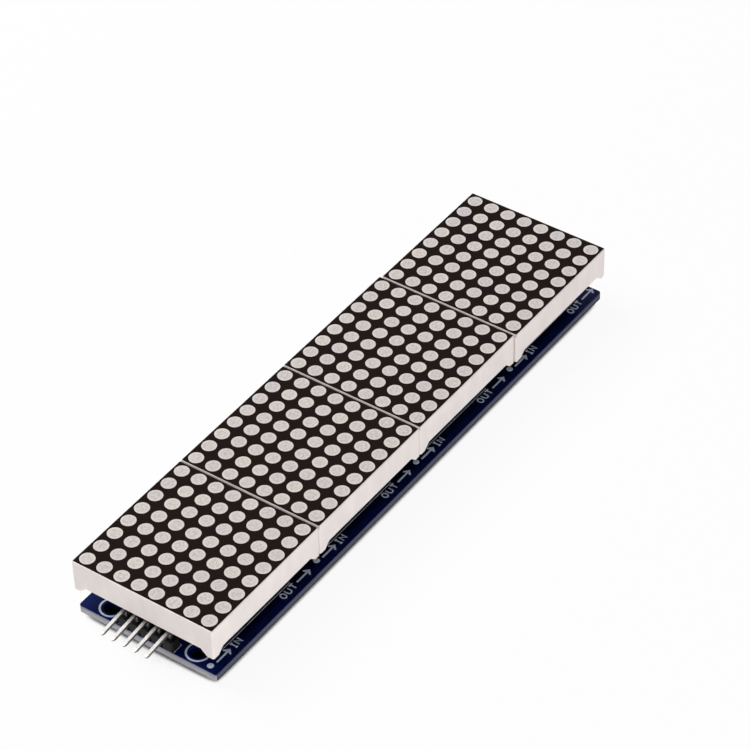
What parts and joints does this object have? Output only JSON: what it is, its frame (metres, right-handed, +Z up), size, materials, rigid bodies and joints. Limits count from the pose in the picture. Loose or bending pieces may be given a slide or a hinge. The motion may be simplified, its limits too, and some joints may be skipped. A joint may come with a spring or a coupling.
{
  "type": "led dot matrix module",
  "caption": "Row of plug-in dot matrix displays, round pale dots on black faces, on one long blue circuit board with a right-angle input header.",
  "frame": {"origin": "middle of the whole row's outline, input pins included, on the surface that the solder joints rest on", "axes": "+X along the row, away from the input pins; +Z up, out of the display faces; +Y across the row, away from the marked long edge"},
  "size_m": [0.1354, 0.0326, 0.014],
  "materials": {
    "housing_plastic": "moulded off-white plastic",
    "face_ink": "matt black screen print on the face",
    "dot_resin": "cast diffusing resin, flush with the face",
    "inner_board": "glass-epoxy board",
    "tinned_pin": "tin-plated, smooth",
    "socket_plastic": "moulded black plastic",
    "header_plastic": "moulded black plastic",
    "spring_contact": "stamped spring metal, tin-plated",
    "solder": "bright solder",
    "chip_moulding": "moulded black epoxy, bare",
    "capacitor_ceramic": "fired ceramic with metal end caps",
    "resistor_block": "glazed block with metal end caps",
    "board_mask": "dark blue solder mask, cut edges bare"
  },
  "bodies": {
    "root": {"display_housing_1": "housing_plastic", "face_print_1": "face_ink", "display_resin_1": "dot_resin", "display_led_board_1": "inner_board", "display_pins_1": "tinned_pin", "socket_front_1": "socket_plastic", "socket_rear_1": "socket_plastic", "socket_contacts_1": "spring_contact", "solder_joints_1": "solder", "driver_chip_1": "chip_moulding", "driver_leads_1": "tinned_pin", "bulk_capacitor_1": "capacitor_ceramic", "bypass_capacitor_1": "capacitor_ceramic", "set_resistor_1": "resistor_block", "display_housing_2": "housing_plastic", "face_print_2": "face_ink", "display_resin_2": "dot_resin", "display_led_board_2": "inner_board", "display_pins_2": "tinned_pin", "socket_front_2": "socket_plastic", "socket_rear_2": "socket_plastic", "socket_contacts_2": "spring_contact", "solder_joints_2": "solder", "driver_chip_2": "chip_moulding", "driver_leads_2": "tinned_pin", "bulk_capacitor_2": "capacitor_ceramic", "bypass_capacitor_2": "capacitor_ceramic", "set_resistor_2": "resistor_block", "display_housing_3": "housing_plastic", "face_print_3": "face_ink", "display_resin_3": "dot_resin", "display_led_board_3": "inner_board", "display_pins_3": "tinned_pin", "socket_front_3": "socket_plastic", "socket_rear_3": "socket_plastic", "socket_contacts_3": "spring_contact", "solder_joints_3": "solder", "driver_chip_3": "chip_moulding", "driver_leads_3": "tinned_pin", "bulk_capacitor_3": "capacitor_ceramic", "bypass_capacitor_3": "capacitor_ceramic", "set_resistor_3": "resistor_block", "display_housing_4": "housing_plastic", "face_print_4": "face_ink", "display_resin_4": "dot_resin", "display_led_board_4": "inner_board", "display_pins_4": "tinned_pin", "socket_front_4": "socket_plastic", "socket_rear_4": "socket_plastic", "socket_contacts_4": "spring_contact", "solder_joints_4": "solder", "driver_chip_4": "chip_moulding", "driver_leads_4": "tinned_pin", "bulk_capacitor_4": "capacitor_ceramic", "bypass_capacitor_4": "capacitor_ceramic", "set_resistor_4": "resistor_block", "header_body": "header_plastic", "header_pins": "tinned_pin", "header_solder": "solder", "circuit_board": "board_mask"}
  },
  "joints": []
}
